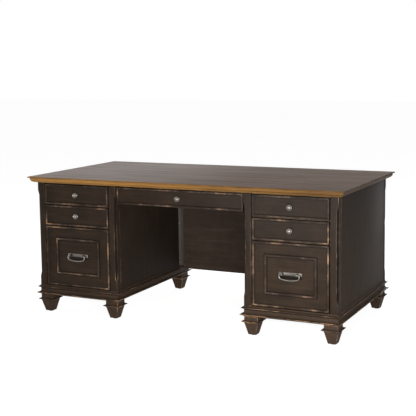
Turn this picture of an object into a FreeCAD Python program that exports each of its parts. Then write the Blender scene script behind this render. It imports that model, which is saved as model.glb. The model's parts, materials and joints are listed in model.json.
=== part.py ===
import FreeCAD, Part
import os
from math import atan2, cos, degrees, pi, radians, sin, sqrt, tan
from FreeCAD import Vector

# Double pedestal desk in millimetres: X runs along the length, -Y is the front and Z is up.
# The origin lies on the floor under the middle of the top.

# Top: a panel with a thin lip, and mouldings mitred round it under the lip
desk_width = 1828.0
desk_depth = 914.0
desk_height = 768.0
top_thickness = 33.0
top_overhang = 40.0
lip_thickness = 7.0
lip_overhang = 9.0
lip_round = 2.5
edge_width = 28.0
edge_shoulder = 3.0
edge_foot = 3.0

# Pedestals: four posts with stopped chamfers, and panels flush between them
pedestal_width = 500.0
post_size = 42.0
post_chamfer = 10.0
chamfer_end_gap = 45.0
chamfer_stop = 25.0
side_thickness = 16.0
back_thickness = 12.0
bottom_thickness = 12.0

# Framing inside a pedestal: rails and packing strips that the slides are screwed to
rail_thickness = 20.0
rail_depth = 60.0
divider_thickness = 18.0
divider_depth = 40.0
rail_setback = 4.0
packer_height = 46.0

# Base moulding with two pointed beads, and tapered feet with a collar
base_height = 56.0
base_thickness = 25.0
lower_bead_height = 24.0
lower_bead_reach = 18.0
upper_bead_height = 20.0
upper_bead_reach = 13.0
bead_nose = 1.6
bead_nose_level = 0.42
foot_side = 75.0
foot_toe = 43.0
foot_taper_height = 64.0
collar_height = 17.0
collar_reach = 12.0
collar_facets = 5
foot_neck_height = 17.0
glide_height = 4.0
glide_diameter = 24.0

# Drawer fronts: a slab with a moulding round its edge
front_thickness = 17.0
field_recess = 5.0
moulding_height = 7.0
moulding_width = 17.0
moulding_bead = 11.0
moulding_side = 3.5
front_side_gap = 5.0
front_top_gap = 7.0
drawer_gap = 5.0
front_foot_gap = 4.0
small_front_height = 112.0
centre_front_height = 92.0
centre_recess = 8.0
frame_margin = 63.0
frame_width = 15.0
frame_height = 6.0
frame_side = 1.5

# Drawer boxes
box_board = 12.0
box_floor = 6.0
box_floor_lift = 8.0
box_clearance = 6.0
small_box_depth = 500.0
file_box_depth = 560.0
centre_box_depth = 410.0
folder_span = 318.0
file_rail_height = 14.0
file_rail_thickness = 3.0

# Slides in the gap beside each box
slide_space = 13.0
slide_gauge = 1.4
slide_play = 0.4
channel_flange = 10.0
runner_flange = 8.0
small_slide_height = 35.0
file_slide_height = 45.0
small_slide_length = 490.0
file_slide_length = 550.0
centre_slide_length = 400.0

# Knobs
knob_diameter = 29.0
knob_reach = 26.0
knob_cap = 11.0
knob_rim = 3.0
knob_neck = 10.5
knob_foot = 17.0
knob_foot_height = 3.5
knob_screw_grip = 12.0

# Bail pulls on the file drawers
plate_width = 125.0
plate_height = 32.0
plate_thickness = 3.0
plate_bevel = 1.2
plate_lift = 2.0
pull_post_span = 80.0
pull_post_diameter = 12.0
pull_post_reach = 21.0
pull_pivot_reach = 15.0
pull_pivot_drop = 8.0
bail_rod = 6.0
bail_side_gap = 0.5
bail_drop = 30.0
bail_shoulder_radius = 6.5
bail_corner_radius = 15.0
bail_bow_degrees = 14.0
bail_play = 0.1
bail_pin_end = 1.5
pull_screw_grip = 10.0

# Modesty panel across the kneehole, on two cleats
modesty_thickness = 16.0
modesty_setback = 56.0
modesty_foot = 138.0
modesty_notch_gap = 2.0
cleat_width = 14.0
cleat_depth = 42.0
cleat_end_gap = 8.0
cleat_screw_low = 185.0
cleat_screw_pitch = 240.0

# Screws
screw_diameter = 4.0
screw_head_diameter = 8.0
screw_head_height = 2.6
screw_play = 0.2
top_screw_bite = 15.0
top_screw_inset = 60.0
modesty_screw_bite = 10.0

# Levels and faces that follow from the sizes above
top_underside = desk_height - top_thickness
foot_top = glide_height + foot_taper_height + collar_height + foot_neck_height
base_top = foot_top + base_height
outer_face = desk_width / 2 - top_overhang
inner_face = outer_face - pedestal_width
pedestal_middle = outer_face - pedestal_width / 2
pedestal_half = pedestal_width / 2
front_face = -(desk_depth / 2 - top_overhang)
back_face = -front_face
opening_half = pedestal_half - post_size
field_face = front_face + field_recess
front_back = field_face + front_thickness
rail_face = front_back + rail_setback
post_back = front_face + post_size

X_AXIS = Vector(1, 0, 0)
Y_AXIS = Vector(0, 1, 0)
Z_AXIS = Vector(0, 0, 1)
ORIGIN = Vector(0, 0, 0)
HOLLOW = 1 - 1 / sqrt(2)


def block(x0, x1, y0, y1, z0, z1):
    return Part.makeBox(x1 - x0, y1 - y0, z1 - z0, Vector(x0, y0, z0))


def rod(start, direction, length, diameter):
    return Part.makeCylinder(diameter / 2, length, start, direction)


def moved(shape, x, y, z):
    copy = shape.copy()
    copy.translate(Vector(x, y, z))
    return copy


def outline(start, *steps):
    """A closed face. A step of one point is a straight line, and one of two points is an arc."""
    edges = []
    here = start
    for step in steps:
        if len(step) == 2:
            edges.append(Part.Arc(here, step[0], step[1]).toShape())
        else:
            edges.append(Part.makeLine(here, step[0]))
        here = step[-1]
    edges.append(Part.makeLine(here, start))
    return Part.Face(Part.Wire(edges))


def out_up(outward, up):
    """A point of a moulding's profile: how far out from its line, and how high."""
    return Vector(0, -outward, up)


def arc_middle(across, rise):
    """The middle of an arc that leaves a flat end square and climbs: how far across and how high it is."""
    radius = (across ** 2 + rise ** 2) / (2 * rise)
    half_turn = atan2(across, radius - rise) / 2
    return radius * sin(half_turn), radius * (1 - cos(half_turn))


def mitred_bars(profile, half_x, half_y):
    """Front, right, back and left bars of one profile round a rectangle, mitred at its corners."""
    room = profile.BoundBox
    outer, inner = -room.YMin, -room.YMax
    bars = []
    for turn in (0, 90, 180, 270):
        half_run, half_off = (half_x, half_y) if turn in (0, 180) else (half_y, half_x)
        run = half_run + outer
        bar = profile.extrude(Vector(2 * run, 0, 0))
        bar.translate(Vector(-run, -half_off, 0))
        corners = [
            Vector(sign * (half_run + reach), -half_off - reach, room.ZMin)
            for sign, reach in ((-1, inner), (1, inner), (1, outer), (-1, outer))
        ]
        between_mitres = Part.Face(Part.makePolygon(corners + corners[:1]))
        bar = bar.common(between_mitres.extrude(Vector(0, 0, room.ZLength))).Solids[0]
        bar.rotate(ORIGIN, Z_AXIS, turn)
        bars.append(bar)
    return bars


def screw(head_seat, direction, length):
    """A pan-head screw: its head lies behind head_seat and its shank runs along direction."""
    shank = rod(head_seat, direction, length, screw_diameter)
    head = rod(head_seat - direction * screw_head_height, direction, screw_head_height, screw_head_diameter)
    return shank.fuse(head).removeSplitter().Solids[0]


def screw_hole(head_seat, direction, length):
    return rod(head_seat, direction, length, screw_diameter + 2 * screw_play)


def top_screw_seats(middle):
    """Where the heads of the screws that hold the top sit, under a pedestal's top rails."""
    return [
        Vector(middle + x, y, top_underside - rail_thickness)
        for y in (rail_face + rail_depth / 2, back_face - back_thickness - rail_depth / 2)
        for x in (-opening_half + top_screw_inset, opening_half - top_screw_inset)
    ]


def top_nodes():
    """The panel with its lip, and the four edge mouldings under the lip."""
    half_x, half_y = desk_width / 2, desk_depth / 2
    lip_bottom = desk_height - lip_thickness
    core_inset = lip_overhang + edge_width
    lip = block(-half_x, half_x, -half_y, half_y, lip_bottom, desk_height)
    rim = [edge for edge in lip.Edges if abs(edge.Vertexes[0].Z - edge.Vertexes[1].Z) < lip_round]
    lip = lip.makeFillet(lip_round, rim)
    core_x, core_y = half_x - core_inset, half_y - core_inset
    core = block(-core_x, core_x, -core_y, core_y, top_underside, lip_bottom)
    panel = lip.fuse(core).removeSplitter().Solids[0]
    for sign in (-1, 1):
        for seat in top_screw_seats(sign * pedestal_middle):
            hole = screw_hole(seat, Z_AXIS, rail_thickness + top_screw_bite + screw_play)
            panel = panel.cut(hole).Solids[0]
    rounding = lip_bottom - edge_shoulder - top_underside
    sweep = edge_width - edge_foot
    across, rise = arc_middle(sweep, rounding)
    profile = outline(
        out_up(-edge_width, lip_bottom),
        (out_up(0, lip_bottom),),
        (out_up(0, lip_bottom - edge_shoulder),),
        (out_up(across - sweep, top_underside + rise), out_up(-sweep, top_underside)),
        (out_up(-edge_width, top_underside),),
    )
    front, right, back, left = mitred_bars(profile, half_x - lip_overhang, half_y - lip_overhang)
    return {"top_panel": [panel], "top_edge_front": [front], "top_edge_sides": [left, right, back]}


def post(sign_x, sign_y):
    """A corner post of a pedestal about X = 0, with a stopped chamfer down its outer corner."""
    corner_x, corner_y = sign_x * pedestal_half, sign_y * back_face
    xs = sorted((corner_x, corner_x - sign_x * post_size))
    ys = sorted((corner_y, corner_y - sign_y * post_size))
    body = block(xs[0], xs[1], ys[0], ys[1], base_top, top_underside)
    depth = post_chamfer / sqrt(2)
    low, high = base_top + chamfer_end_gap, top_underside - chamfer_end_gap
    cutter = outline(
        Vector(-depth, -post_chamfer, low + chamfer_stop),
        (Vector(-depth, -post_chamfer, high - chamfer_stop),),
        (Vector(depth, -post_chamfer, high + chamfer_stop),),
        (Vector(depth, -post_chamfer, low - chamfer_stop),),
    ).extrude(Vector(0, 2 * post_chamfer, 0))
    cutter.rotate(ORIGIN, Z_AXIS, degrees(atan2(sign_y, sign_x)))
    return body.cut(moved(cutter, corner_x, corner_y, 0)).Solids[0]


def bead_steps(low, height, reach):
    """One pointed bead up a moulding: a flat underside, a small nose and a hollow above it."""
    nose_level = low + height * bead_nose_level
    shoulder = reach - bead_nose
    hollow_foot = nose_level + bead_nose
    hollow_rise = low + height - hollow_foot
    return (
        (out_up(shoulder, nose_level - bead_nose),),
        (out_up(reach, nose_level), out_up(shoulder, hollow_foot)),
        (out_up(HOLLOW * shoulder, hollow_foot + HOLLOW * hollow_rise), out_up(0, low + height)),
    )


def base_moulding():
    profile = outline(
        out_up(-base_thickness, foot_top),
        (out_up(0, foot_top),),
        *bead_steps(foot_top, lower_bead_height, lower_bead_reach),
        (out_up(0, base_top - upper_bead_height),),
        *bead_steps(base_top - upper_bead_height, upper_bead_height, upper_bead_reach),
        (out_up(-base_thickness, base_top),),
    )
    return mitred_bars(profile, pedestal_half, back_face)


def foot():
    """A square foot about the Z axis: taper, pointed collar and neck, as a stack of squares."""
    collar_low = glide_height + foot_taper_height
    nose_level = collar_low + collar_height * bead_nose_level
    shoulder = collar_reach - bead_nose
    hollow_foot = nose_level + bead_nose
    hollow_rise = collar_low + collar_height - hollow_foot
    stations = [
        (glide_height, foot_toe),
        (collar_low, foot_side),
        (nose_level - bead_nose, foot_side + 2 * shoulder),
        (nose_level, foot_side + 2 * collar_reach),
        (hollow_foot, foot_side + 2 * shoulder),
    ]
    for facet in range(1, collar_facets + 1):
        turn = pi / 2 * facet / collar_facets
        level = hollow_foot + hollow_rise * (1 - cos(turn))
        stations.append((level, foot_side + 2 * shoulder * (1 - sin(turn))))
    stations.append((foot_top, foot_side))
    squares = []
    for level, side in stations:
        half = side / 2
        ring = [Vector(x * half, y * half, level) for x, y in ((-1, -1), (1, -1), (1, 1), (-1, 1))]
        squares.append(Part.makePolygon(ring + ring[:1]))
    return Part.makeLoft(squares, True, True)


def foot_places(middle):
    reach_x, reach_y = pedestal_half - foot_side / 2, back_face - foot_side / 2
    return [(middle + x * reach_x, y * reach_y) for x in (-1, 1) for y in (-1, 1)]


# Drawer stack of a pedestal, from the top down: front heights, and the spaces that the boxes have
stack_top = top_underside - front_top_gap
upper_front = (stack_top - small_front_height, stack_top)
middle_front = (upper_front[0] - drawer_gap - small_front_height, upper_front[0] - drawer_gap)
file_front = (base_top + front_foot_gap, middle_front[0] - drawer_gap)
divider_levels = (upper_front[0] - drawer_gap / 2, middle_front[0] - drawer_gap / 2)
divider_half = divider_thickness / 2
upper_space = (divider_levels[0] + divider_half, top_underside - rail_thickness)
middle_space = (divider_levels[1] + divider_half, divider_levels[0] - divider_half)
file_space = (base_top, divider_levels[1] - divider_half - file_rail_height)
centre_front = (stack_top - centre_front_height, stack_top)
centre_space = (centre_front[0], top_underside)


def boxed(space):
    return space[0] + box_clearance, space[1] - box_clearance


def slide_level(space):
    low, high = boxed(space)
    return (low + high) / 2


def channel(web_x, facing, height, level, start_y, length, flange):
    """A C section along Y: web at web_x, flanges towards +X or -X."""
    gauge = slide_gauge
    half = height / 2
    points = [
        (0, -half), (flange, -half), (flange, -half + gauge), (gauge, -half + gauge),
        (gauge, half - gauge), (flange, half - gauge), (flange, half), (0, half),
    ]
    ring = [Vector(web_x + facing * x, start_y, level + z) for x, z in points]
    return Part.Face(Part.makePolygon(ring + ring[:1])).extrude(Vector(0, length, 0))


def slide_pair(middle, half_gap, space, height, length, start_y, member):
    """Both sides' copies of one slide member: 'channel' on the case, 'runner' on a box, and for a slide of
    three parts 'middle' in the channel and 'inner runner' in that."""
    nest = slide_gauge + slide_play
    pair = []
    for side in (-1, 1):
        wall = middle + side * half_gap
        if member == "channel":
            section = (wall, -side, height, channel_flange)
        elif member == "middle":
            section = (wall - side * nest, -side, height - 2 * nest, channel_flange - slide_gauge)
        elif member == "runner":
            section = (wall - side * slide_space, side, height - 2 * nest, runner_flange)
        else:
            section = (wall - side * slide_space, side, height - 4 * nest, runner_flange)
        web_x, facing, tall, flange = section
        pair.append(channel(web_x, facing, tall, slide_level(space), start_y, length, flange))
    return pair


def framing(middle):
    """Top rails, drawer dividers and slide packers of one pedestal."""
    low_x, high_x = middle - opening_half, middle + opening_half
    pieces = []
    back_rail = back_face - back_thickness
    rail_bottom = top_underside - rail_thickness
    for front_y in (rail_face, back_rail - rail_depth):
        rail = block(low_x, high_x, front_y, front_y + rail_depth, rail_bottom, top_underside)
        for seat in top_screw_seats(middle):
            rail = rail.cut(screw_hole(seat, Z_AXIS, rail_thickness)).Solids[0]
        pieces.append(rail)
    for level in divider_levels:
        pieces.append(block(low_x, high_x, rail_face, rail_face + divider_depth,
                            level - divider_half, level + divider_half))
    for space, length in stack_slides():
        level = slide_level(space)
        for side in (-1, 1):
            xs = sorted((middle + side * opening_half, middle + side * (pedestal_half - side_thickness)))
            pieces.append(block(xs[0], xs[1], post_back, post_back + length,
                                level - packer_height / 2, level + packer_height / 2))
    return pieces


def stack_slides():
    return (
        (upper_space, small_slide_length),
        (middle_space, small_slide_length),
        (file_space, file_slide_length),
    )


def pedestal_nodes(side, sign):
    middle = sign * pedestal_middle
    panel_y = (post_back, -post_back)
    panels = {}
    for end in (-1, 1):
        xs = sorted((middle + end * pedestal_half, middle + end * (pedestal_half - side_thickness)))
        name = "outer_side" if end == sign else "inner_side"
        panels[f"{side}_{name}"] = [block(xs[0], xs[1], panel_y[0], panel_y[1], base_top, top_underside)]
    low_x, high_x = middle - opening_half, middle + opening_half
    floor_x, floor_y = pedestal_half - base_thickness, back_face - base_thickness
    channels = []
    for space, length in stack_slides():
        height = file_slide_height if space == file_space else small_slide_height
        channels += slide_pair(middle, opening_half, space, height, length, post_back, "channel")
    return {
        f"{side}_posts": [moved(post(x, y), middle, 0, 0) for x in (-1, 1) for y in (-1, 1)],
        **panels,
        f"{side}_back": [block(low_x, high_x, back_face - back_thickness, back_face,
                               base_top, top_underside)],
        f"{side}_bottom": [block(middle - floor_x, middle + floor_x, -floor_y, floor_y,
                                 base_top - bottom_thickness, base_top)],
        f"{side}_framing": framing(middle),
        f"{side}_base_moulding": [moved(bar, middle, 0, 0) for bar in base_moulding()],
        f"{side}_feet": [moved(foot(), x, y, 0) for x, y in foot_places(middle)],
        f"{side}_slide_channels": channels,
    }


def frame_bars(profile, width, height, x, y, z):
    """Mitred bars in a drawer front's plane: drawn flat, then stood up facing the front."""
    bars = mitred_bars(profile, width / 2, height / 2)
    for bar in bars:
        bar.rotate(ORIGIN, X_AXIS, 90)
        bar.translate(Vector(x, y, z))
    return bars


def edge_moulding_profile():
    return outline(
        out_up(0, 0),
        (out_up(0, moulding_side),),
        (out_up(-moulding_bead / 2, moulding_height), out_up(-moulding_bead, moulding_side)),
        (out_up(-moulding_bead - HOLLOW * (moulding_width - moulding_bead), HOLLOW * moulding_side),
         out_up(-moulding_width, 0)),
    )


def panel_frame_profile():
    return outline(
        out_up(0, 0),
        (out_up(0, frame_side),),
        (out_up(-frame_width / 2, frame_height), out_up(-frame_width, frame_side)),
        (out_up(-frame_width, 0),),
    )


def drawer_front(middle, width, levels, face_y, hole_places):
    """The slab, with clearance holes, and the moulding round its edge."""
    low, high = levels
    slab = block(middle - width / 2, middle + width / 2, face_y, face_y + front_thickness, low, high)
    for x, z in hole_places:
        slab = slab.cut(screw_hole(Vector(x, face_y, z), Y_AXIS, front_thickness)).Solids[0]
    mouldings = frame_bars(edge_moulding_profile(), width, high - low, middle, face_y, (low + high) / 2)
    return [slab] + mouldings


def drawer_box(middle, width, space, depth, start_y, hole_places):
    """Two sides, back, inner front and floor, as separate boards."""
    low, high = boxed(space)
    half = width / 2
    inner = half - box_board
    end_y = start_y + depth
    inner_front = block(middle - inner, middle + inner, start_y, start_y + box_board, low, high)
    for x, z in hole_places:
        inner_front = inner_front.cut(screw_hole(Vector(x, start_y, z), Y_AXIS, box_board)).Solids[0]
    floor_z = low + box_floor_lift
    return [
        block(middle - half, middle - inner, start_y, end_y, low, high),
        block(middle + inner, middle + half, start_y, end_y, low, high),
        block(middle - inner, middle + inner, end_y - box_board, end_y, low, high),
        inner_front,
        block(middle - inner, middle + inner, start_y + box_board, end_y - box_board,
              floor_z, floor_z + box_floor),
    ]


def knob(x, face_y, z):
    """A mushroom knob on the front's face, and the screw that holds it from inside the box."""
    foot_r, neck_r, cap_r = knob_foot / 2, knob_neck / 2, knob_diameter / 2
    cap_base = knob_reach - knob_cap
    across, rise = arc_middle(cap_r, knob_cap - knob_rim)
    profile = outline(
        Vector(0, 0, 0),
        (Vector(foot_r, 0, 0),),
        (Vector(foot_r, -knob_foot_height, 0),),
        (Vector(neck_r, -knob_foot_height - (foot_r - neck_r) / 2, 0),),
        (Vector(neck_r, -cap_base, 0),),
        (Vector(cap_r, -cap_base, 0),),
        (Vector(cap_r, -cap_base - knob_rim, 0),),
        (Vector(across, -knob_reach + rise, 0), Vector(0, -knob_reach, 0)),
    )
    body = profile.revolve(ORIGIN, Y_AXIS, 360)
    body = body.cut(screw_hole(ORIGIN, -Y_AXIS, knob_screw_grip)).Solids[0]
    seat_y = face_y + front_thickness + box_board
    fixing = screw(Vector(x, seat_y, z), -Y_AXIS, front_thickness + box_board + knob_screw_grip - screw_play)
    return [moved(body, x, face_y, z), fixing]


def small_drawer_nodes(name, middle, half_gap, levels, space, face_y, slide):
    """A drawer with a knob: front, box, knob and the runners on its sides."""
    depth, slide_length, slide_start = slide
    width = 2 * (half_gap - front_side_gap)
    box_width = 2 * (half_gap - slide_space)
    knob_place = (middle, (levels[0] + levels[1]) / 2)
    start_y = face_y + front_thickness
    runners = slide_pair(middle, half_gap, space, small_slide_height, slide_length, slide_start, "runner")
    return {
        f"{name}_front": drawer_front(middle, width, levels, face_y, [knob_place]),
        f"{name}_box": drawer_box(middle, box_width, space, depth, start_y, [knob_place]),
        f"{name}_knob": knob(knob_place[0], face_y, knob_place[1]),
        f"{name}_runners": runners,
    }


def pull_plate(x, z):
    """A backplate with two pivot posts, and the screws that hold it from inside the box."""
    pivot_z = z + plate_height / 2 - pull_pivot_drop
    plate = block(x - plate_width / 2, x + plate_width / 2, field_face - plate_thickness, field_face,
                  z - plate_height / 2, z + plate_height / 2)
    front_rim = [edge for edge in plate.Edges if edge.BoundBox.YMax < field_face - plate_thickness / 2]
    plate = plate.makeChamfer(plate_bevel, front_rim)
    pieces = []
    for side in (-1, 1):
        place = Vector(x + side * pull_post_span / 2, field_face, pivot_z)
        plate = plate.fuse(rod(place, -Y_AXIS, pull_post_reach + plate_thickness, pull_post_diameter))
        plate = plate.cut(screw_hole(place, -Y_AXIS, pull_screw_grip))
        seat = place + Y_AXIS * (front_thickness + box_board)
        pieces.append(screw(seat, -Y_AXIS, front_thickness + box_board + pull_screw_grip - screw_play))
    pivot_y = field_face - plate_thickness - pull_pivot_reach
    hole_start = Vector(x - plate_width / 2, pivot_y, pivot_z)
    plate = plate.cut(rod(hole_start, X_AXIS, plate_width, bail_rod + 2 * bail_play))
    return [plate.removeSplitter().Solids[0]] + pieces


def bail(x, z):
    """A bent rod whose turned-in ends sit in the pivot posts, hanging down."""
    pivot_z = z + plate_height / 2 - pull_pivot_drop
    pivot_y = field_face - plate_thickness - pull_pivot_reach
    arm = pull_post_span / 2 + pull_post_diameter / 2 + bail_side_gap + bail_shoulder_radius
    pin_end = pull_post_span / 2 - pull_post_diameter / 2 + bail_pin_end
    bottom = pivot_z - bail_drop
    shoulder, corner = bail_shoulder_radius, bail_corner_radius
    bow = radians(bail_bow_degrees)
    grip_end = arm - corner * (1 - sin(bow))
    corner_level = bottom + grip_end * tan(bow / 2) + corner * cos(bow)
    half_turn = (pi / 2 - bow) / 2

    def half_path(side):
        """From a pin's end to the end of the bowed grip."""
        def at(across, level):
            return Vector(x + side * across, pivot_y, level)
        return [
            (at(pin_end, pivot_z),),
            (at(arm - shoulder, pivot_z),),
            (at(arm - HOLLOW * shoulder, pivot_z - HOLLOW * shoulder), at(arm, pivot_z - shoulder)),
            (at(arm, corner_level),),
            (at(arm - corner * (1 - cos(half_turn)), corner_level - corner * sin(half_turn)),
             at(grip_end, corner_level - corner * cos(bow))),
        ]

    left, right = half_path(-1), half_path(1)
    edges = []
    for path in (left, right):
        for here, step in zip(path, path[1:]):
            if len(step) == 2:
                edges.append(Part.Arc(here[-1], step[0], step[1]).toShape())
            else:
                edges.append(Part.makeLine(here[-1], step[0]))
    edges.append(Part.Arc(left[-1][-1], Vector(x, pivot_y, bottom), right[-1][-1]).toShape())
    route = Part.Wire(Part.__sortEdges__(edges))
    start = left[0][0]
    section = Part.Wire(Part.makeCircle(bail_rod / 2, start, X_AXIS))
    return route.makePipeShell([section], True, True)


def file_drawer_nodes(side, middle):
    """A deep drawer: panelled front, box, folder rails, bail pull and three-part slides."""
    name = f"{side}_file_drawer"
    low, high = file_front
    pull_z = (low + high) / 2 + plate_lift
    pivot_z = pull_z + plate_height / 2 - pull_pivot_drop
    pull_holes = [(middle + end * pull_post_span / 2, pivot_z) for end in (-1, 1)]
    width = 2 * (opening_half - front_side_gap)
    box_width = 2 * (opening_half - slide_space)
    panel_frame = frame_bars(panel_frame_profile(), width - 2 * frame_margin, high - low - 2 * frame_margin,
                             middle, field_face, (low + high) / 2)
    rail_z = boxed(file_space)[1]
    rails = []
    for end in (-1, 1):
        y = front_back + file_box_depth / 2 + end * folder_span / 2
        rails.append(block(middle - box_width / 2, middle + box_width / 2,
                           y - file_rail_thickness / 2, y + file_rail_thickness / 2,
                           rail_z, rail_z + file_rail_height))

    def slides(member):
        return slide_pair(middle, opening_half, file_space, file_slide_height, file_slide_length,
                          post_back, member)

    return {
        f"{name}_front": drawer_front(middle, width, file_front, field_face, pull_holes) + panel_frame,
        f"{name}_box": drawer_box(middle, box_width, file_space, file_box_depth, front_back, pull_holes),
        f"{name}_rails": rails,
        f"{name}_runners": slides("inner runner"),
        f"{side}_file_slide_middles": slides("middle"),
        f"{side}_file_pull_plate": pull_plate(middle, pull_z),
        f"{side}_file_bail": [bail(middle, pull_z)],
    }


def modesty_nodes():
    """The panel across the kneehole, its cleats, and the screws of the cleats and of the top."""
    back_y = back_face - modesty_setback
    front_y = back_y - modesty_thickness
    panel = block(-inner_face, inner_face, front_y, back_y, modesty_foot, top_underside)
    notch = lower_bead_reach + modesty_notch_gap
    notch_top = base_top + modesty_notch_gap
    cleats = []
    screws = []
    for side in (-1, 1):
        xs = sorted((side * inner_face, side * (inner_face - notch)))
        panel = panel.cut(block(xs[0], xs[1], front_y, back_y, modesty_foot, notch_top)).Solids[0]
        xs = sorted((side * inner_face, side * (inner_face - cleat_width)))
        cleat = block(xs[0], xs[1], front_y - cleat_depth, front_y, base_top + cleat_end_gap,
                      top_underside - cleat_end_gap)
        for step in (0, 1):
            seat = Vector(side * (inner_face - cleat_width / 2), front_y - cleat_depth,
                          cleat_screw_low + step * cleat_screw_pitch)
            length = cleat_depth + modesty_screw_bite
            hole = screw_hole(seat, Y_AXIS, length + screw_play)
            cleat = cleat.cut(hole).Solids[0]
            panel = panel.cut(hole).Solids[0]
            screws.append(screw(seat, Y_AXIS, length))
        cleats.append(cleat)
        for seat in top_screw_seats(side * pedestal_middle):
            screws.append(screw(seat, Z_AXIS, rail_thickness + top_screw_bite))
    return {"modesty_panel": [panel], "modesty_cleats": cleats, "assembly_screws": screws}


def all_nodes():
    nodes = top_nodes()
    small_slide = (small_box_depth, small_slide_length, post_back)
    for side, sign in (("left", -1), ("right", 1)):
        middle = sign * pedestal_middle
        nodes.update(pedestal_nodes(side, sign))
        small_drawers = (("upper", upper_front, upper_space), ("middle", middle_front, middle_space))
        for name, levels, space in small_drawers:
            nodes.update(small_drawer_nodes(f"{side}_{name}_drawer", middle, opening_half, levels, space,
                                            field_face, small_slide))
        nodes.update(file_drawer_nodes(side, middle))
    centre_face = field_face + centre_recess
    centre_start = centre_face + front_thickness + rail_setback
    centre_slide = (centre_box_depth, centre_slide_length, centre_start)
    nodes.update(small_drawer_nodes("centre_drawer", 0, inner_face, centre_front, centre_space,
                                    centre_face, centre_slide))
    nodes["centre_slide_channels"] = slide_pair(0, inner_face, centre_space, small_slide_height,
                                                centre_slide_length, centre_start, "channel")
    nodes.update(modesty_nodes())
    nodes["foot_glides"] = [
        rod(Vector(x, y, 0), Z_AXIS, glide_height, glide_diameter)
        for sign in (-1, 1) for x, y in foot_places(sign * pedestal_middle)
    ]
    return nodes


os.makedirs("parts", exist_ok=True)
for node_name, solids in all_nodes().items():
    shape = solids[0] if len(solids) == 1 else Part.makeCompound(solids)
    shape.exportStep(f"parts/{node_name}.step")
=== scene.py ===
import json
from math import asin, cos, hypot, pi, radians, sin

import bpy
from mathutils import Matrix, Vector


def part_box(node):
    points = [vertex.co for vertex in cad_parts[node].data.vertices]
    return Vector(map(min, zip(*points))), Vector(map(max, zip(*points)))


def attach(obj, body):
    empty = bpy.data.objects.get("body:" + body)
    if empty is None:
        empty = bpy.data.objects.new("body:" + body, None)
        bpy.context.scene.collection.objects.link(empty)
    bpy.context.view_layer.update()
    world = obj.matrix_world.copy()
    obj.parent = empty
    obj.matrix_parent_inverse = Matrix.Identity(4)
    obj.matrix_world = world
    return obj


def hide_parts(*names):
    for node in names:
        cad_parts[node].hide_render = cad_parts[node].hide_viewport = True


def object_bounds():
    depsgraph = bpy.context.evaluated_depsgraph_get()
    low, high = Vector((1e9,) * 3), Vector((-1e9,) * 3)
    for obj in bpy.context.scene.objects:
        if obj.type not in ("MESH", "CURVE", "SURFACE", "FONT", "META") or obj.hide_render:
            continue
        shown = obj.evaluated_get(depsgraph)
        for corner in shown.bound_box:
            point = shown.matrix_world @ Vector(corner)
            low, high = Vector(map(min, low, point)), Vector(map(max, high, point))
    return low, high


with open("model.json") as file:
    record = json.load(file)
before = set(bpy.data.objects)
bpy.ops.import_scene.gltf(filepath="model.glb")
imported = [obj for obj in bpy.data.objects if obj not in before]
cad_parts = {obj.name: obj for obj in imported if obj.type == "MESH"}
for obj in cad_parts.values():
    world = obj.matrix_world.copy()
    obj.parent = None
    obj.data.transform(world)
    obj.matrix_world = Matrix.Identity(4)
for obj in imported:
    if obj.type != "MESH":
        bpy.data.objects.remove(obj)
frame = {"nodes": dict(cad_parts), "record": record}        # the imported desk, each node at its place
cad_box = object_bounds()
NODES = frame["nodes"]
BODIES = frame["record"]["behaviour"]["bodies"]
BODY_OF = {node: body for body, members in BODIES.items() for node in members}
SIDES = ("left", "right")

# Moulding round a drawer front, in metres: a bead at the edge and a hollow down to the field
BEAD_WIDTH = 0.011
BEAD_SIDE = 0.0035
BEAD_HEIGHT = 0.007
HOLLOW_WIDTH = 0.006
BEAD_FACETS = 8
HOLLOW_FACETS = 4

# Panel frame on a file drawer's front
FRAME_MARGIN = 0.063
FRAME_WIDTH = 0.015
FRAME_HEIGHT = 0.006
FRAME_SIDE = 0.0015
QUIRK = 0.0003

# Base moulding: beads with a pointed nose, each with its height and reach, round a hollow box
BASE_WALL = 0.025
BASE_HOLLOW = 0.044
LOWER_BEAD = (0.024, 0.018)
UPPER_BEAD = (0.020, 0.013)
NOSE = 0.0016
NOSE_LEVEL = 0.42
NOSE_FACETS = 6
SCOOP_FACETS = 6

# Feet
FOOT_SIDE = 0.075
FOOT_TOE = 0.043
FOOT_TAPER = 0.064
COLLAR_HEIGHT = 0.017
COLLAR_REACH = 0.012
NECK_HEIGHT = 0.017

# Boards of the drawer boxes
BOX_BOARD = 0.012

# Rounding of edges
POST_ROUND = 0.0016
PANEL_ROUND = 0.0008
FOOT_ROUND = 0.0020
BOX_ROUND = 0.0010
PLATE_ROUND = 0.0006
ROUND_FACETS = 2
SHARP_ANGLE = radians(34)

# Wear and painted highlight: how much edges and noses are rubbed and lightened, and the shares of a crest's
# height where it starts and is full
POST_WEAR_AND_HIGHLIGHT = 0.95
FOOT_WEAR_AND_HIGHLIGHT = 1.08
LOWER_BEAD_WEAR_AND_HIGHLIGHT = 1.2
FRONT_CREST = (0.60, 0.97)
BASE_CREST = (0.72, 0.98)
FOOT_CREST = 0.8

# Joining loose triangles into whole faces
FLAT_ANGLE = radians(0.5)
MERGE_DISTANCE = 0.00001
JUST_INSIDE = 0.0002

# Knobs, turned: a foot, a waist, a rounded rim and a dome set in from it, and the screw behind
KNOB_SIDES = 48
KNOB_REACH = 0.026
KNOB_FOOT = 0.0085
KNOB_FOOT_HEIGHT = 0.002
KNOB_WAIST = 0.0050
KNOB_RADIUS = 0.0145
KNOB_RIM = 0.0040
KNOB_STEP = 0.0016
KNOB_DOME = 0.0075
KNOB_TIP = 0.0006
KNOB_FACETS = 8
SCREW_RADIUS = 0.0020
SCREW_GRIP = 0.012

# Pull plates: painted shadow covers them up to this share of their height
PLATE_SHADOW_SHARE = 0.52
PLATE_SHADOW_BLEND = 0.004
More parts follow.
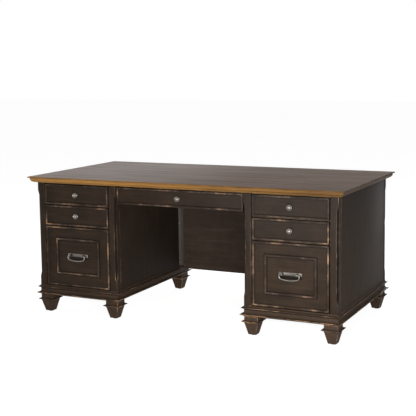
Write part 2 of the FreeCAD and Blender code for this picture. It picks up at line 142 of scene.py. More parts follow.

# Paints: a dark and a paler colour each, the grey painted sheen on them, and what shows where hands have
# rubbed them
BLACK_PAINT = (0.0225, 0.0148, 0.0100), (0.0450, 0.0292, 0.0192)
# A darker copy of the black paint for the kneehole sides: painted shade
SHADED_KNEEHOLE_PAINT = (0.0180, 0.0122, 0.0088), (0.0280, 0.0187, 0.0133)
BROWN_PAINT = (0.042, 0.0275, 0.0185), (0.074, 0.0485, 0.0320)
# A paler paint for the modesty panel, lightened as painted light
LIT_PAINT = (0.038, 0.0262, 0.0195), (0.068, 0.0470, 0.0350)
GREY_PAINT = (0.090, 0.079, 0.067), (0.125, 0.112, 0.095)
# Painted sheen: a grey blended in towards the upper right, and how much of it
PAINTED_SHEEN = (0.030, 0.0268, 0.0255)
PAINTED_SHEEN_SHARE = 0.36
# Rubbed paint, lighter along edges and crests: partly wear and partly a painted highlight
RUBBED_PAINT_AND_HIGHLIGHT = (0.080, 0.063, 0.054)
THIN_PAINT = (0.125, 0.078, 0.050)
BARE_WOOD = (0.25, 0.130, 0.062), (0.42, 0.255, 0.140)
# Painted shade on the ends of drawer fronts and the chamfers of posts: how much darker
PAINTED_SHADE_SHARE = 0.75
# Reach of the darkening in hollows: painted shade in the paints, patina in the metal
HOLLOW_REACH = 0.006

# Woods and metals: a dark and a paler colour each
WALNUT = (0.052, 0.030, 0.019), (0.108, 0.063, 0.039)
HONEY_LIP = (0.184, 0.085, 0.023), (0.313, 0.153, 0.040)
HONEY = (0.230, 0.107, 0.0244), (0.386, 0.190, 0.045)
HONEY_PATCH = (0.184, 0.078, 0.0193)
# Painted shade: how much darker the honey gets towards the right
HONEY_SHADE_TO_RIGHT = 0.55
TOP_GLOSS = 0.40
EDGE_GLOSS = 0.10
GLOSS_LOSS = 0.72
LIP_GLAZE = 0.50
EDGE_GLAZE = 0.14
DRAWER_WOOD = (0.36, 0.235, 0.130), (0.56, 0.405, 0.255)
INSIDE_WOOD = (0.27, 0.175, 0.100), (0.45, 0.32, 0.20)
PEWTER = (0.040, 0.035, 0.030), (0.31, 0.292, 0.270)
DARK_PEWTER = (0.022, 0.018, 0.015), (0.215, 0.190, 0.170)
ZINC = (0.42, 0.43, 0.44), (0.58, 0.58, 0.57)
NYLON = (0.018, 0.018, 0.018), (0.07, 0.066, 0.06)

# The camera, from the photograph's corners in its 416-pixel frame
IMAGE_SIDE = 416
SENSOR_WIDTH = 36.0
FOCAL_PIXELS = 954.3
CENTRE_PIXEL = (217.0, 180.0)
CAMERA_PLACE = (2.2953, -4.7409, 1.3637)
CAMERA_YAW = radians(25.521)
CAMERA_PITCH = radians(6.811)
CAMERA_ROLL = radians(-0.664)


class Wire:
    """A socket of a finish. Sums written with it add Math nodes."""

    def __init__(self, finish, socket):
        self.finish = finish
        self.socket = socket

    def math(self, operation, *values):
        return self.finish.node("ShaderNodeMath", {"operation": operation}, dict(enumerate(values)))

    def __add__(self, other):
        return self.math("ADD", self, other)

    def __radd__(self, other):
        return self.math("ADD", other, self)

    def __sub__(self, other):
        return self.math("SUBTRACT", self, other)

    def __rsub__(self, other):
        return self.math("SUBTRACT", other, self)

    def __mul__(self, other):
        return self.math("MULTIPLY", self, other)

    def __rmul__(self, other):
        return self.math("MULTIPLY", other, self)

    def clamped(self, low, high):
        """Rises smoothly from 0 to 1 as the value goes from low to high."""
        settings = {"interpolation_type": "SMOOTHSTEP"}
        inputs = {"Value": self, "From Min": low, "From Max": high}
        return self.finish.node("ShaderNodeMapRange", settings, inputs, "Result")


class Finish:
    """A material and its node tree."""

    def __init__(self, name, world=None):
        owner = world or bpy.data.materials.new(name)
        owner.use_nodes = True
        self.material = owner
        self.tree = owner.node_tree
        self.tree.nodes.clear()

    def node(self, kind, settings=None, inputs=None, output=0):
        """Adds a node: its settings first, then the values or links of its sockets."""
        made = self.tree.nodes.new(kind)
        for name, value in (settings or {}).items():
            setattr(made, name, value)
        for name, value in (inputs or {}).items():
            socket = made.inputs[name]
            if isinstance(value, Wire):
                self.tree.links.new(value.socket, socket)
            elif isinstance(value, tuple) and len(value) == 3 and socket.type == "RGBA":
                socket.default_value = (*value, 1.0)
            else:
                socket.default_value = value
        return Wire(self, made.outputs[output]) if made.outputs else None

    def place(self):
        return self.node("ShaderNodeTexCoord", output="Object")

    def scaled(self, vector, scale):
        return self.node("ShaderNodeMapping", None, {"Vector": vector, "Scale": scale}, "Vector")

    def noise(self, vector, scale, detail=2.0, roughness=0.5, distortion=0.0):
        inputs = {"Vector": vector, "Scale": scale, "Detail": detail, "Roughness": roughness,
                  "Distortion": distortion}
        return self.node("ShaderNodeTexNoise", None, inputs, "Fac")

    def blend(self, share, first, second):
        """A colour between two: first where share is 0, second where it is 1."""
        return self.node("ShaderNodeMix", {"data_type": "RGBA"}, {"Factor": share, 6: first, 7: second}, 2)

    def shade(self, share, colour):
        """A colour times a grey value."""
        inputs = {0: colour, "Scale": share}
        return self.node("ShaderNodeVectorMath", {"operation": "SCALE"}, inputs, "Vector")

    def rub_and_highlight(self):
        """How far a hand rubs this spot, which also places the painted highlight: about 1 along edges and
        crests, 0 on flat wood.
        """
        return self.node("ShaderNodeAttribute", {"attribute_name": "rub_and_highlight"}, None, "Fac")

    def along(self, vector, axis):
        """One coordinate of a vector."""
        return self.node("ShaderNodeSeparateXYZ", None, {0: vector}, axis)

    def facing(self, axis):
        """How far the surface faces along an axis, from -1 to 1."""
        return self.along(self.node("ShaderNodeNewGeometry", output="Normal"), axis)

    def openness(self, reach):
        """1 on open surfaces, less in the piece's own hollows: painted shade in the paints, patina in the
        metal.
        """
        settings = {"samples": 8, "only_local": True}
        return self.node("ShaderNodeAmbientOcclusion", settings, {"Distance": reach}, "AO")

    def bump(self, height, strength, depth):
        return self.node("ShaderNodeBump", None, {"Height": height, "Strength": strength, "Distance": depth})

    def surface(self, **sockets):
        """The shader itself. Its sockets are named with _ for a space."""
        inputs = {name.replace("_", " "): value for name, value in sockets.items()}
        body = self.node("ShaderNodeBsdfPrincipled", None, inputs)
        self.node("ShaderNodeOutputMaterial", None, {"Surface": body})
        return self.material


GRAIN_ALONG = {"X": (1.0, 14.0, 14.0), "Y": (14.0, 1.0, 14.0), "Z": (14.0, 14.0, 1.0)}


def grain_of(finish, along, coarse):
    """Streaks that run along one axis: a broad figure and fine pores."""
    stretched = finish.scaled(finish.place(), GRAIN_ALONG[along])
    figure = finish.noise(stretched, coarse, 4.0, 0.6, 0.35)
    pores = finish.noise(stretched, coarse * 9.0, 3.0, 0.7)
    return figure, pores


def shade_on_ends(finish):
    """1 on the upright ends of a drawer front: painted shade for the shadow in the gaps beside them."""
    sideways = finish.facing("X")
    return (sideways * sideways).clamped(0.75, 0.95)


def shade_on_chamfers(finish):
    """1 on the chamfers of a post: painted shade that darkens them."""
    sideways, forwards = finish.facing("X"), finish.facing("Y")
    return (sideways * sideways * forwards * forwards).clamped(0.16, 0.24)


def distressed_paint(name, along, paint, painted_shade=None):
    """Mottled paint with a grey painted sheen at the upper right, painted shade in hollows and on chosen
    faces, and rubbed paint with a painted highlight and bare wood where hands have rubbed it.
    """
    finish = Finish(name)
    place = finish.place()
    figure, pores = grain_of(finish, along, 4.0)
    mottle = finish.noise(place, 7.0, 4.0, 0.6)
    colour = finish.blend(mottle.clamped(0.3, 0.75) * 0.5 + figure.clamped(0.45, 0.75) * 0.5, *paint)
    # Painted sheen: greyer towards the top and the right
    upper = finish.along(place, "Z").clamped(0.25, 0.75)
    right = finish.along(place, "X").clamped(-0.3, 0.5)
    colour = finish.blend(upper * right * PAINTED_SHEEN_SHARE, colour, PAINTED_SHEEN)
    colour = finish.shade(0.80 + pores * 0.4, colour)
    # Painted shade on chosen faces, such as the ends of drawer fronts and the chamfers of posts
    if painted_shade:
        colour = finish.shade(1.0 - painted_shade(finish) * PAINTED_SHADE_SHARE, colour)
    rub_and_highlight = finish.rub_and_highlight()
    patches = finish.noise(place, 11.0, 3.0, 0.65)
    ragged = finish.noise(place, 260.0, 2.0, 0.6)
    worn = rub_and_highlight * (patches + ragged * 0.22 - 0.11)
    bare = finish.blend(figure, *BARE_WOOD)
    # Rubbed paint and a painted highlight along edges and crests
    colour = finish.blend(rub_and_highlight * patches.clamped(0.38, 0.70) * 0.80, colour, RUBBED_PAINT_AND_HIGHLIGHT)
    colour = finish.blend(worn.clamped(0.45, 0.62) * 0.7, colour, THIN_PAINT)
    colour = finish.blend(worn.clamped(0.56, 0.68), colour, bare)
    # Painted shade: darker in the piece's own hollows beside beads and in recesses
    colour = finish.shade(0.30 + finish.openness(HOLLOW_REACH).clamped(0.78, 0.99) * 0.70, colour)
    height = pores * 0.5 + figure * 0.5 - worn.clamped(0.50, 0.66) * 1.2
    return finish.surface(
        Base_Color=colour,
        Roughness=0.62 + mottle * 0.14 - rub_and_highlight * 0.16,
        Specular_IOR_Level=0.07,
        Normal=finish.bump(height, 0.22, 0.0006),
    )


def lacquered_top(name, gloss, glaze):
    """Dark walnut under a satin lacquer that is duller to the right.

    Its upright edges are darker under a glaze, and the lip's front is rubbed to honey, with painted shade
    darkening the honey towards the right.
    """
    finish = Finish(name)
    place = finish.place()
    figure, pores = grain_of(finish, "X", 2.2)
    mottle = finish.noise(place, 2.5, 3.0, 0.55)
    colour = finish.blend(figure.clamped(0.25, 0.80), *WALNUT)
    colour = finish.shade(0.80 + pores * 0.24 + mottle * 0.2, colour)
    level = finish.facing("Z")
    unglazed = 1.0 - (1.0 - level * level).clamped(0.5, 0.9) * glaze
    colour = finish.shade(unglazed, colour)
    front = (0.0 - finish.facing("Y")).clamped(0.35, 0.8)
    patches = finish.noise(place, 9.0, 3.0, 0.6)
    lip = finish.blend(patches.clamped(0.3, 0.7), *HONEY_LIP)
    across = finish.along(place, "X")
    # Painted shade: the honey lip darker towards the right
    lip = finish.shade(1.0 - across.clamped(-0.7, 0.9) * HONEY_SHADE_TO_RIGHT, lip)
    colour = finish.blend(front, colour, lip)
    streaks = 0.60 + figure.clamped(0.3, 0.7) * 0.50 + pores * 0.30
    satin = 1.0 - across.clamped(-0.5, 0.35) * GLOSS_LOSS
    return finish.surface(
        Base_Color=colour,
        Roughness=0.52 + mottle * 0.10 + pores * 0.06,
        Specular_IOR_Level=0.05,
        Coat_Weight=gloss * streaks * satin * unglazed,
        Coat_Roughness=0.30,
        Coat_IOR=1.45,
        Normal=finish.bump(pores * 0.4 + figure, 0.22, 0.0006),
    )


def honey_edge(name):
    """Honey stained wood with grain lines along the edge, darkened towards the right as painted shade."""
    finish = Finish(name)
    place = finish.place()
    figure, pores = grain_of(finish, "X", 3.0)
    patches = finish.noise(place, 5.0, 3.0, 0.6)
    colour = finish.blend(figure.clamped(0.3, 0.7), *HONEY)
    colour = finish.blend(patches.clamped(0.55, 0.8) * 0.5, colour, HONEY_PATCH)
    # Painted shade: darker towards the right
    painted_shade = finish.along(place, "X").clamped(-0.7, 0.9)
    colour = finish.shade((0.82 + pores * 0.36) * (1.0 - painted_shade * HONEY_SHADE_TO_RIGHT), colour)
    return finish.surface(
        Base_Color=colour,
        Roughness=0.44 + pores * 0.12,
        Specular_IOR_Level=0.20,
        Normal=finish.bump(pores, 0.15, 0.0004),
    )


def plain_wood(name, along, wood):
    """Sealed pale wood of drawer boxes and inner framing."""
    finish = Finish(name)
    place = finish.place()
    figure, pores = grain_of(finish, along, 3.2)
    mottle = finish.noise(place, 3.0, 3.0, 0.5)
    colour = finish.blend((figure * 0.7 + mottle * 0.3).clamped(0.3, 0.7), *wood)
    colour = finish.shade(0.84 + pores * 0.32, colour)
    return finish.surface(
        Base_Color=colour,
        Roughness=0.46 + pores * 0.14,
        Specular_IOR_Level=0.35,
        Normal=finish.bump(pores, 0.15, 0.0004),
    )


def antique_pewter(name, metal, level=None):
    """Grey cast metal with patina in its hollows, a painted highlight on its upper rounds, and painted
    shadow below a level.
    """
    finish = Finish(name)
    place = finish.place()
    cloud = finish.noise(place, 60.0, 4.0, 0.6)
    speck = finish.noise(place, 700.0, 2.0, 0.6)
    open_metal = finish.openness(HOLLOW_REACH).clamped(0.45, 0.97)
    # Painted light: lighter where the metal faces up
    lit_from_above = finish.facing("Z").clamped(-0.75, 0.65)
    rubbed = open_metal * (0.25 + lit_from_above * 0.75) * (0.6 + cloud * 0.6)
    # Painted shadow: darker below the level
    if level is not None:
        rubbed = rubbed * finish.along(place, "Z").clamped(level - PLATE_SHADOW_BLEND, level + PLATE_SHADOW_BLEND)
    colour = finish.blend(rubbed, *metal)
    return finish.surface(
        Base_Color=finish.shade(0.85 + speck * 0.3, colour),
        Metallic=1.0,
        Roughness=0.26 + cloud * 0.16 + speck * 0.06,
        Normal=finish.bump(cloud + speck * 0.5, 0.12, 0.0003),
    )


def zinc_steel(name):
    """Rolled slide steel with a zinc bloom and draw lines along its length."""
    finish = Finish(name)
    place = finish.place()
    lines = finish.noise(finish.scaled(place, (60.0, 1.0, 60.0)), 12.0, 3.0, 0.6)
    bloom = finish.noise(place, 40.0, 4.0, 0.6)
    colour = finish.blend(bloom.clamped(0.3, 0.7), *ZINC)
    return finish.surface(
        Base_Color=finish.shade(0.88 + lines * 0.24, colour),
        Metallic=1.0,
        Roughness=0.30 + lines * 0.18,
        Normal=finish.bump(lines, 0.08, 0.0002),
    )


def glide_nylon(name):
    """Dark moulded nylon, scuffed."""
    finish = Finish(name)
    place = finish.place()
    scuffs = finish.noise(place, 180.0, 4.0, 0.7)
    colour = finish.blend(scuffs.clamped(0.45, 0.75), *NYLON)
    return finish.surface(
        Base_Color=colour,
        Roughness=0.5 + scuffs * 0.25,
        Normal=finish.bump(scuffs, 0.15, 0.0003),
    )


def only(piece):
    """Chooses one piece alone."""
    bpy.ops.object.select_all(action="DESELECT")
    piece.select_set(True)
    bpy.context.view_layer.objects.active = piece


def shaped(piece, name):
    """Names a new primitive and puts its place into its mesh."""
    piece.name = name
    piece.data.name = name
    only(piece)
    bpy.ops.object.transform_apply(location=True, rotation=True, scale=True)
    return piece


def block(name, low, high):
    bpy.ops.object.select_all(action="DESELECT")
    bpy.ops.mesh.primitive_cube_add(size=1.0, location=(low + high) / 2, scale=high - low)
    return shaped(bpy.context.object, name)


def choose_faces(piece, wanted):
    """Goes into edit mode with only the faces that are wanted, by their middle and normal."""
    only(piece)
    bpy.ops.object.mode_set(mode="EDIT")
    bpy.ops.mesh.select_mode(type="FACE")
    bpy.ops.mesh.select_all(action="DESELECT")
    bpy.ops.object.mode_set(mode="OBJECT")
    for face in piece.data.polygons:
        face.select = wanted(face.center, face.normal)
    bpy.ops.object.mode_set(mode="EDIT")


def inset_through(profile):
    """Draws the chosen face in through a profile of distances from the edge and heights."""
    for (near, low), (far, high) in zip(profile, profile[1:]):
        bpy.ops.mesh.inset(thickness=far - near, depth=high - low, use_boundary=True, use_even_offset=True)


def grow(centre, direction, stations):
    """Draws the chosen face out along an axis. A station is its reach and its two half sizes across."""
    axis = Vector(direction)
    for (start, *here), (end, *there) in zip(stations, stations[1:]):
        bpy.ops.mesh.extrude_region_move(TRANSFORM_OT_translate={"value": axis * (end - start)})
        across = [b / a for a, b in zip(here, there)]
        scale = (across[0], 1.0, across[1]) if axis.y else (across[0], across[1], 1.0)
        bpy.ops.transform.resize(value=scale, center_override=Vector(centre) + axis * end)


def close_up(piece):
    """Merges doubles, turns all faces outwards and leaves edit mode."""
    bpy.ops.mesh.select_all(action="SELECT")
    bpy.ops.mesh.remove_doubles(threshold=MERGE_DISTANCE)
    bpy.ops.mesh.normals_make_consistent(inside=False)
    bpy.ops.object.mode_set(mode="OBJECT")
    smooth(piece)


def smooth(piece):
    only(piece)
    bpy.ops.object.shade_smooth_by_angle(angle=SHARP_ANGLE)


def round_edges(piece, width, wear_and_highlight=1.0):
    """Rounds a piece's sharp edges and marks the rounded faces as rubbed and highlighted."""
    only(piece)
    for _ in range(2 - len(piece.data.materials)):
        piece.data.materials.append(None)
    bevel = piece.modifiers.new("round", "BEVEL")
    bevel.width = width
    bevel.segments = ROUND_FACETS
    bevel.limit_method = "ANGLE"
    bevel.angle_limit = SHARP_ANGLE
    bevel.material = 1
    bpy.ops.object.modifier_apply(modifier=bevel.name)
    rounded = [wear_and_highlight if face.material_index == 1 else 0.0 for face in piece.data.polygons]
    piece.data.materials.clear()
    for face in piece.data.polygons:
        face.material_index = 0
    mark = piece.data.attributes.new("rub_and_highlight", "FLOAT", "FACE")
    mark.data.foreach_set("value", rounded)
    smooth(piece)


def mark_crests(piece, height_of, crest, shares, most=1.0):
    """Marks how much each point is rubbed and highlighted: from 0 to 1 between two shares of a crest, and on
    up to most.
    """
    low, high = (crest * share for share in shares)
    mark = piece.data.attributes.new("rub_and_highlight", "FLOAT", "POINT")
    for point, value in zip(piece.data.vertices, mark.data):
        value.value = min(max((height_of(point.co) - low) / (high - low), 0.0), most)


def merged_copy(node, wanted=lambda point: True):
    """A copy of a node's mesh with its loose triangles joined into whole faces.

    Where a node has touching pieces, wanted chooses one of them, by a point just inside each face.
    """
    piece = bpy.data.objects.new(f"finished_{node}", NODES[node].data.copy())
    piece.data.name = piece.name
    piece.data.materials.clear()
    bpy.context.scene.collection.objects.link(piece)
    choose_faces(piece, lambda middle, normal: not wanted(middle - normal * JUST_INSIDE))
    bpy.ops.mesh.delete(type="FACE")
    bpy.ops.mesh.select_all(action="SELECT")
    bpy.ops.mesh.remove_doubles(threshold=MERGE_DISTANCE)
    bpy.ops.mesh.dissolve_limited(angle_limit=FLAT_ANGLE)
    bpy.ops.object.mode_set(mode="OBJECT")
    return piece


def joined(pieces):
    """Several pieces as one."""
    bpy.ops.object.select_all(action="DESELECT")
    for piece in pieces:
        piece.select_set(True)
    bpy.context.view_layer.objects.active = pieces[0]
    bpy.ops.object.join()
    return pieces[0]


def fit(piece, node, finish):
    """Gives a finished piece its material and puts it in the place of its node."""
    piece.data.materials.clear()
    piece.data.materials.append(finish)
    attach(piece, BODY_OF[node])
    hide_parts(node)


def dress(node, finish):
    """Gives a node that stays as it is its material."""
    NODES[node].data.materials.clear()
    NODES[node].data.materials.append(finish)


def bead(start, width, side, height):
    """Over a rounded bead: distances in from the edge, and heights."""
    half = width / 2
    rise = height - side
    radius = (half ** 2 + rise ** 2) / (2 * rise)
    reach = asin(half / radius)
    turns = [reach * (2 * step / BEAD_FACETS - 1) for step in range(BEAD_FACETS + 1)]
    return [(start + half + radius * sin(turn), height - radius * (1 - cos(turn))) for turn in turns]


def hollow(start, width, height):
    """Down a hollow to the field."""
    turns = [pi / 2 * step / HOLLOW_FACETS for step in range(1, HOLLOW_FACETS + 1)]
    return [(start + width * (1 - cos(turn)), height * (1 - sin(turn))) for turn in turns]


def edge_profile():
    return bead(0.0, BEAD_WIDTH, BEAD_SIDE, BEAD_HEIGHT) + hollow(BEAD_WIDTH, HOLLOW_WIDTH, BEAD_SIDE)


def panel_frame_profile():
    """In over the raised frame, with a fine quirk at each foot of its bead."""
    raised = bead(FRAME_MARGIN + QUIRK, FRAME_WIDTH - 2 * QUIRK, FRAME_SIDE, FRAME_HEIGHT)
    return [(FRAME_MARGIN, 0.0)] + raised + [(FRAME_MARGIN + FRAME_WIDTH, 0.0)]


def moulded_front(node, finish, panelled):
    """A drawer front in one piece, its mouldings drawn in from its edge."""
    low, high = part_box(node)
    field = low.y + BEAD_HEIGHT
    piece = block(f"finished_{node}", Vector((low.x, field - BEAD_SIDE, low.z)), high)
    choose_faces(piece, lambda middle, normal: normal.y < -0.5)
    inset_through(edge_profile() + (panel_frame_profile() if panelled else []))
    close_up(piece)
    mark_crests(piece, lambda point: field - point.y, FRAME_HEIGHT, FRONT_CREST)
    fit(piece, node, finish)


def nosed_bead(low, height, reach):
    """Up a pointed bead: levels and reaches from flat underside over the nose to the top of the scoop."""
    nose = low + height * NOSE_LEVEL
    shoulder = reach - NOSE
    stations = [(low, 0.0), (nose - NOSE, shoulder)]
    for step in range(1, NOSE_FACETS + 1):
        turn = pi * (step / NOSE_FACETS - 0.5)
        stations.append((nose + NOSE * sin(turn), shoulder + NOSE * cos(turn)))
    foot = nose + NOSE
    rise = low + height - foot
    for step in range(1, SCOOP_FACETS + 1):
        turn = pi / 2 * step / SCOOP_FACETS
        stations.append((foot + rise * (1 - cos(turn)), shoulder * (1 - sin(turn))))
    return stations


def base_moulding(side, finish):
    """The moulded base of a pedestal: a hollow box drawn up through its two beads."""
    node = f"{side}_base_moulding"
    low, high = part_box(node)
    reach = LOWER_BEAD[1]
    half_x = (high.x - low.x) / 2 - reach
    half_y = (high.y - low.y) / 2 - reach
    middle = (low + high) / 2
    lower = nosed_bead(low.z, *LOWER_BEAD)
    upper = nosed_bead(high.z - UPPER_BEAD[0], *UPPER_BEAD)
    stations = [(level, half_x + out, half_y + out) for level, out in lower + upper]
    bpy.ops.object.select_all(action="DESELECT")
    bpy.ops.mesh.primitive_plane_add(size=1.0, location=(middle.x, middle.y, low.z))
    piece = shaped(bpy.context.object, f"finished_{node}")
    choose_faces(piece, lambda middle, normal: True)
    start = stations[0]
    bpy.ops.transform.resize(value=(2 * start[1], 2 * start[2], 1.0),
                             center_override=(middle.x, middle.y, low.z))
    grow((middle.x, middle.y, 0.0), (0.0, 0.0, 1.0), stations)
    close_up(piece)
    choose_faces(piece, lambda middle, normal: abs(normal.z) > 0.9 and middle.z < low.z + QUIRK)
    bpy.ops.mesh.inset(thickness=BASE_WALL, depth=0.0, use_boundary=True, use_even_offset=True)
    bpy.ops.mesh.extrude_region_move(TRANSFORM_OT_translate={"value": (0.0, 0.0, BASE_HOLLOW)})
    close_up(piece)

    def out_of_wall(point):
        return max(abs(point.x - middle.x) - half_x, abs(point.y - middle.y) - half_y)

    mark_crests(piece, out_of_wall, UPPER_BEAD[1], BASE_CREST, LOWER_BEAD_WEAR_AND_HIGHLIGHT)
    fit(piece, node, finish)


def foot_stations(floor):
    """Up a square foot: the taper, the pointed collar and the neck."""
    collar = floor + FOOT_TAPER
    sides = [(floor, FOOT_TOE)]
    sides += [(level, FOOT_SIDE + 2 * out) for level, out in nosed_bead(collar, COLLAR_HEIGHT, COLLAR_REACH)]
    sides.append((collar + COLLAR_HEIGHT + NECK_HEIGHT, FOOT_SIDE))
    return [(level, side / 2, side / 2) for level, side in sides]


def foot_at(name, x, y, floor):
    stations = foot_stations(floor)
    bpy.ops.object.select_all(action="DESELECT")
    bpy.ops.mesh.primitive_plane_add(size=2 * stations[0][1], location=(x, y, floor))
    piece = shaped(bpy.context.object, name)
    choose_faces(piece, lambda middle, normal: True)
    grow((x, y, 0.0), (0.0, 0.0, 1.0), stations)
    close_up(piece)
    round_edges(piece, FOOT_ROUND, FOOT_WEAR_AND_HIGHLIGHT)
    nose = FOOT_SIDE / 2 + COLLAR_REACH * FOOT_CREST
    for face, mark in zip(piece.data.polygons, piece.data.attributes["rub_and_highlight"].data):
        if max(abs(face.center.x - x), abs(face.center.y - y)) > nose:
            mark.value = FOOT_WEAR_AND_HIGHLIGHT
    return piece


def feet(side, finish):
    """The four feet of a pedestal, as one piece."""
    node = f"{side}_feet"
    low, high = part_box(node)
    inset = COLLAR_REACH + FOOT_SIDE / 2
    places = [(x, y) for x in (low.x + inset, high.x - inset) for y in (low.y + inset, high.y - inset)]
    fit(joined([foot_at(f"finished_{node}", x, y, low.z) for x, y in places]), node, finish)


def knob_turning():
    """Out from a knob's foot to its tip: reaches and radii."""
    rim_back = KNOB_REACH - KNOB_DOME - KNOB_RIM
    dome_foot = KNOB_REACH - KNOB_DOME
    shoulder = KNOB_RADIUS - KNOB_RIM / 2
    turning = [(0.0, KNOB_FOOT), (KNOB_FOOT_HEIGHT, KNOB_FOOT)]
    for step in range(1, KNOB_FACETS):
        share = step / KNOB_FACETS
        flare = (KNOB_FOOT if share < 0.5 else shoulder) - KNOB_WAIST
        reach = KNOB_FOOT_HEIGHT + (rim_back - KNOB_FOOT_HEIGHT) * share
        turning.append((reach, KNOB_WAIST + flare * (1 - sin(pi * share))))
    for step in range(KNOB_FACETS + 1):
        turn = pi * step / KNOB_FACETS
        turning.append((rim_back + KNOB_RIM * (1 - cos(turn)) / 2, shoulder + KNOB_RIM / 2 * sin(turn)))
    for step in range(KNOB_FACETS):
        turn = pi / 2 * step / KNOB_FACETS
        turning.append((dome_foot + KNOB_DOME * sin(turn), (shoulder - KNOB_STEP) * cos(turn)))
    return turning + [(KNOB_REACH, KNOB_TIP)]


def knob(node, finish):
    """A turned knob, drawn out from its foot, and the screw that holds it from inside the box."""
    low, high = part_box(node)
    centre = Vector(((low.x + high.x) / 2, low.y + KNOB_REACH, (low.z + high.z) / 2))
    bpy.ops.object.select_all(action="DESELECT")
    bpy.ops.mesh.primitive_circle_add(vertices=KNOB_SIDES, radius=KNOB_FOOT, fill_type="NGON",
                                      location=centre, rotation=(pi / 2, 0.0, 0.0))
    piece = shaped(bpy.context.object, f"finished_{node}")
    choose_faces(piece, lambda middle, normal: True)
    grow(centre, (0.0, -1.0, 0.0), [(reach, radius, radius) for reach, radius in knob_turning()])
    close_up(piece)

    def in_screw(point):
        near_axis = hypot(point.x - centre.x, point.z - centre.z) < SCREW_RADIUS
        return point.y > centre.y or (near_axis and point.y > centre.y - SCREW_GRIP)

    screw = merged_copy(node, in_screw)
    smooth(screw)
    fit(joined([piece, screw]), node, finish)


def drawer_box(node, finish):
    """The five boards of a drawer box, each with rounded edges."""
    low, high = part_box(node)

    def board_at(point):
        if not low.x + BOX_BOARD < point.x < high.x - BOX_BOARD:
            return "left side" if point.x < (low.x + high.x) / 2 else "right side"
        if point.y < low.y + BOX_BOARD:
            return "inner front"
        return "back" if point.y > high.y - BOX_BOARD else "floor"

    boards = []
    for board in ("left side", "right side", "inner front", "back", "floor"):
        boards.append(merged_copy(node, lambda point: board_at(point) == board))
        round_edges(boards[-1], BOX_ROUND)
    fit(joined(boards), node, finish)


def end_edges(node, finish):
    """The three edge mouldings of the top that meet in mitres at the back."""
    low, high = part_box(node)

    def bar_at(point):
        to_end = min(point.x - low.x, high.x - point.x)
        if high.y - point.y < to_end:
            return "back"
        return "left" if point.x < 0.0 else "right"

    bars = []
    for bar in ("left", "right", "back"):
        bars.append(merged_copy(node, lambda point: bar_at(point) == bar))
        smooth(bars[-1])
    fit(joined(bars), node, finish)


def rounded_part(node, finish, width, wear_and_highlight=1.0):
    piece = merged_copy(node)
    round_edges(piece, width, wear_and_highlight)
    fit(piece, node, finish)


def smoothed_part(node, finish):
    piece = merged_copy(node)
    smooth(piece)
    fit(piece, node, finish)


def build_desk():
    """Every piece in its finish."""
    upright = distressed_paint("black_paint_upright", "Z", BLACK_PAINT)
    posts = distressed_paint("black_paint_posts", "Z", BLACK_PAINT, shade_on_chamfers)
    fronts = distressed_paint("black_paint_fronts", "X", BLACK_PAINT, shade_on_ends)
    brown_upright = distressed_paint("brown_paint_upright", "Z", BROWN_PAINT)
    brown_across = distressed_paint("brown_paint_across", "X", BROWN_PAINT)
    # Painted light: the modesty panel gets a paler paint
    lit_across = distressed_paint("lit_paint_across", "X", LIT_PAINT)
    # Painted shade: the kneehole sides get a darker copy of the black paint
    kneehole = distressed_paint("shaded_black_paint_kneehole", "Z", SHADED_KNEEHOLE_PAINT)
    grey = distressed_paint("grey_paint_cleats", "Z", GREY_PAINT)
    top = lacquered_top("lacquered_walnut_top", TOP_GLOSS, LIP_GLAZE)
    top_edges = lacquered_top("lacquered_walnut_edges", EDGE_GLOSS, EDGE_GLAZE)
    honey = honey_edge("honey_edge")
    drawer_wood = plain_wood("sealed_drawer_wood", "Y", DRAWER_WOOD)
    inside_wood = plain_wood("sawn_inner_wood", "X", INSIDE_WOOD)
    pewter = antique_pewter("antique_pewter", PEWTER)
    # Painted shadow on the pull plates below a share of their height
    low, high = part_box("left_file_pull_plate")
    plate_shadow_level = low.z + (high.z - low.z) * PLATE_SHADOW_SHARE
    shaded_plate_pewter = antique_pewter("pewter_shaded_below", DARK_PEWTER, plate_shadow_level)
    steel = zinc_steel("zinc_slide_steel")
    nylon = glide_nylon("glide_nylon")

    smoothed_part("top_panel", top)
    smoothed_part("top_edge_front", honey)
    end_edges("top_edge_sides", top_edges)
    small_drawers = ["centre_drawer"]
    for side in SIDES:
        small_drawers += [f"{side}_upper_drawer", f"{side}_middle_drawer"]
        rounded_part(f"{side}_posts", posts, POST_ROUND, POST_WEAR_AND_HIGHLIGHT)
        for panel in ("outer_side", "back"):
            rounded_part(f"{side}_{panel}", upright, PANEL_ROUND)
        rounded_part(f"{side}_inner_side", kneehole, PANEL_ROUND)
        base_moulding(side, brown_across)
        feet(side, brown_upright)
        moulded_front(f"{side}_file_drawer_front", fronts, True)
        drawer_box(f"{side}_file_drawer_box", drawer_wood)
        rounded_part(f"{side}_file_pull_plate", shaded_plate_pewter, PLATE_ROUND)
        smoothed_part(f"{side}_file_bail", pewter)
        dress(f"{side}_bottom", inside_wood)
        dress(f"{side}_framing", inside_wood)
        for name in ("slide_channels", "file_drawer_rails", "file_drawer_runners", "file_slide_middles"):
            dress(f"{side}_{name}", steel)
    for drawer in small_drawers:
        moulded_front(f"{drawer}_front", fronts, False)
        drawer_box(f"{drawer}_box", drawer_wood)
        knob(f"{drawer}_knob", pewter)
        dress(f"{drawer}_runners", steel)
    smoothed_part("modesty_panel", lit_across)
    rounded_part("modesty_cleats", grey, PANEL_ROUND)
    dress("centre_slide_channels", steel)
    dress("assembly_screws", steel)
    dress("foot_glides", nylon)


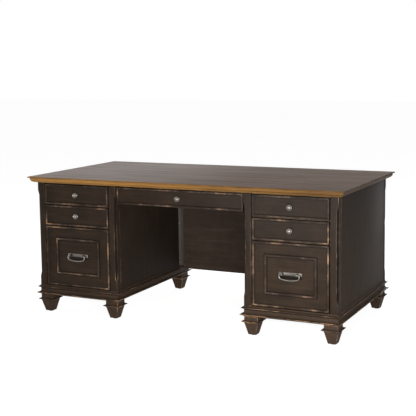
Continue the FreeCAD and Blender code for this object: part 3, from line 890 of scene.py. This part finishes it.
# Studio, in metres and watts. A lamp has a name, a place, a target, a width and depth, and a power
FLOOR_SIZE = 60.0
WORLD_FILL = 0.15
FLOOR_GLOW = 0.92
FLOOR_SHADE = 0.40
FLOOR_BOUNCE = 0.75
LAMPS = (
    ("key", (1.3, -2.4, 0.50), (0.6, -0.4, 0.1), (1.0, 0.8), 56.0),
    ("front", (0.6, -3.2, 0.8), (0.1, 0.0, 0.3), (1.4, 1.0), 8.0),
    ("side", (-3.4, -0.85, 0.42), (-0.6, -0.42, 0.42), (0.6, 0.6), 22.0),
    ("overhead", (0.0, 0.0, 4.2), (0.0, 0.0, 0.7), (4.0, 2.6), 75.0),
    ("behind", (-0.4, 3.4, 0.32), (0.0, 0.4, 0.40), (2.6, 0.5), 50.0),
)


def seen_directly(finish):
    """1 for what the camera sees straight, in a mirror or through glass, and 0 for light that bounces."""
    path = [finish.node("ShaderNodeLightPath", output=ray)
            for ray in ("Is Camera Ray", "Is Glossy Ray", "Is Transmission Ray")]
    return path[0].math("MAXIMUM", path[0], path[1].math("MAXIMUM", path[1], path[2]))


def studio_floor():
    """A pale floor, white where it is lit, that keeps the desk's shadow."""
    bpy.ops.object.select_all(action="DESELECT")
    bpy.ops.mesh.primitive_plane_add(size=FLOOR_SIZE, location=(0.0, 0.0, cad_box[0].z))
    floor = shaped(bpy.context.object, "studio_floor")
    finish = Finish("studio_floor")
    shade = finish.node("ShaderNodeBsdfDiffuse", None, {"Color": (FLOOR_SHADE,) * 3})
    glow = finish.node("ShaderNodeEmission", None, {"Color": (1.0, 1.0, 1.0), "Strength": FLOOR_GLOW})
    white = finish.node("ShaderNodeAddShader", None, {0: shade, 1: glow})
    bounce = finish.node("ShaderNodeBsdfDiffuse", None, {"Color": (FLOOR_BOUNCE,) * 3})
    body = finish.node("ShaderNodeMixShader", None, {0: seen_directly(finish), 1: bounce, 2: white})
    finish.node("ShaderNodeOutputMaterial", None, {"Surface": body})
    floor.data.materials.append(finish.material)


def studio_light():
    """White surroundings, a soft fill all round and large lamps."""
    world = bpy.data.worlds.new("studio")
    bpy.context.scene.world = world
    finish = Finish("studio", world)
    strength = WORLD_FILL + seen_directly(finish) * (1.0 - WORLD_FILL)
    sky = finish.node("ShaderNodeBackground", None, {"Color": (1.0, 1.0, 1.0), "Strength": strength})
    finish.node("ShaderNodeOutputWorld", None, {"Surface": sky})
    for name, place, target, (width, depth), power in LAMPS:
        lamp = bpy.data.lights.new(name, "AREA")
        lamp.shape = "RECTANGLE"
        lamp.size = width
        lamp.size_y = depth
        lamp.energy = power
        holder = bpy.data.objects.new(name, lamp)
        holder.location = place
        holder.rotation_euler = (Vector(target) - Vector(place)).to_track_quat("-Z", "Y").to_euler()
        holder.visible_camera = False
        bpy.context.scene.collection.objects.link(holder)


def photo_camera():
    """The camera at the photograph's place, turned by its yaw, pitch and roll."""
    lens = bpy.data.cameras.new("camera")
    lens.sensor_width = SENSOR_WIDTH
    lens.lens = SENSOR_WIDTH * FOCAL_PIXELS / IMAGE_SIDE
    lens.shift_x = 0.5 - CENTRE_PIXEL[0] / IMAGE_SIDE
    lens.shift_y = CENTRE_PIXEL[1] / IMAGE_SIDE - 0.5
    camera = bpy.data.objects.new("camera", lens)
    turn = (Matrix.Rotation(CAMERA_YAW, 4, "Z") @ Matrix.Rotation(pi / 2 - CAMERA_PITCH, 4, "X")
            @ Matrix.Rotation(CAMERA_ROLL, 4, "Z"))
    camera.matrix_world = Matrix.Translation(CAMERA_PLACE) @ turn
    bpy.context.scene.collection.objects.link(camera)
    bpy.context.scene.camera = camera


build_desk()
studio_floor()
studio_light()
photo_camera()
bpy.context.scene.view_settings.view_transform = "Standard"
